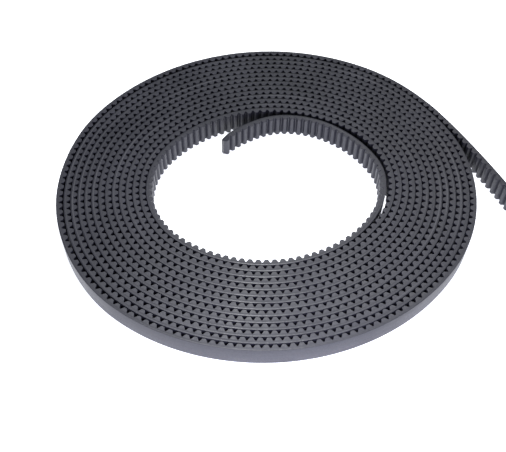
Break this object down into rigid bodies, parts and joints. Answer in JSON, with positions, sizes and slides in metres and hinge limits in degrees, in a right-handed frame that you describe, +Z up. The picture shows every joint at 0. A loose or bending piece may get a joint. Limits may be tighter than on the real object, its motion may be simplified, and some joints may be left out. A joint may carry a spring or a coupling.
{
  "type": "timing belt",
  "caption": "Open-ended rubber timing belt with rounded teeth, wound flat into an oval coil on its edge, a straight outer tail and a curled inner end.",
  "frame": {"origin": "middle of the whole outline, on the surface the belt stands on", "axes": "+Z up, along the width of the belt; +X along the longest extent, towards the free end of the tail; +Y towards the inner tip"},
  "size_m": [0.119, 0.0956, 0.006],
  "materials": {
    "backing_rubber": "matt smooth back",
    "tooth_rubber": "matt, fine fabric facing",
    "ply_rubber": "matt cut edge",
    "cord": "twisted glass fibre"
  },
  "bodies": {
    "coil": {"coil_backing": "backing_rubber", "coil_cord_ply": "ply_rubber", "coil_teeth_outer": "tooth_rubber", "coil_teeth_inner": "tooth_rubber"},
    "tail_1": {"tail_1_backing": "backing_rubber", "tail_1_ply": "ply_rubber", "tail_1_cords": "cord", "tail_1_teeth": "tooth_rubber"},
    "tail_2": {"tail_2_backing": "backing_rubber", "tail_2_ply": "ply_rubber", "tail_2_cords": "cord", "tail_2_teeth": "tooth_rubber"},
    "tail_3": {"tail_3_backing": "backing_rubber", "tail_3_ply": "ply_rubber", "tail_3_cords": "cord", "tail_3_teeth": "tooth_rubber"},
    "tail_4": {"tail_4_backing": "backing_rubber", "tail_4_ply": "ply_rubber", "tail_4_cords": "cord", "tail_4_teeth": "tooth_rubber"},
    "tip_1": {"tip_1_backing": "backing_rubber", "tip_1_ply": "ply_rubber", "tip_1_cords": "cord", "tip_1_teeth": "tooth_rubber"},
    "tip_2": {"tip_2_backing": "backing_rubber", "tip_2_ply": "ply_rubber", "tip_2_cords": "cord", "tip_2_teeth": "tooth_rubber"},
    "tip_3": {"tip_3_backing": "backing_rubber", "tip_3_ply": "ply_rubber", "tip_3_cords": "cord", "tip_3_teeth": "tooth_rubber"}
  },
  "joints": [
    {"name": "tail_1_flex", "type": "hinge", "parent": "coil", "child": "tail_1", "pos_m": [0.0404, 0.02438, 0.003], "axis": [0, 0, 1], "range_deg": [-1, 10], "stiffness_Nm_per_rad": 0.002},
    {"name": "tail_2_flex", "type": "hinge", "parent": "tail_1", "child": "tail_2", "pos_m": [0.04552, 0.0158, 0.003], "axis": [0, 0, 1], "range_deg": [-1, 10]},
    {"name": "tail_3_flex", "type": "hinge", "parent": "tail_2", "child": "tail_3", "pos_m": [0.05034, 0.00703, 0.003], "axis": [0, 0, 1], "range_deg": [-1, 10]},
    {"name": "tail_4_flex", "type": "hinge", "parent": "tail_3", "child": "tail_4", "pos_m": [0.05484, -0.0019, 0.003], "axis": [0, 0, 1], "range_deg": [-1, 10]},
    {"name": "tip_1_flex", "type": "hinge", "parent": "coil", "child": "tip_1", "pos_m": [0.01054, 0.01926, 0.003], "axis": [0, 0, 1], "range_deg": [-2, 15], "stiffness_Nm_per_rad": 0.002},
    {"name": "tip_2_flex", "type": "hinge", "parent": "tip_1", "child": "tip_2", "pos_m": [-0.0009, 0.02246, 0.003], "axis": [0, 0, 1], "range_deg": [-2, 15]},
    {"name": "tip_3_flex", "type": "hinge", "parent": "tip_2", "child": "tip_3", "pos_m": [-0.00866, 0.02083, 0.003], "axis": [0, 0, 1], "range_deg": [-2, 15]}
  ],
  "couplings": [
    {"joint": "tail_2_flex", "follows": "tail_1_flex", "ratio": 1},
    {"joint": "tail_3_flex", "follows": "tail_1_flex", "ratio": 1},
    {"joint": "tail_4_flex", "follows": "tail_1_flex", "ratio": 1},
    {"joint": "tip_2_flex", "follows": "tip_1_flex", "ratio": 1},
    {"joint": "tip_3_flex", "follows": "tip_1_flex", "ratio": 1}
  ]
}
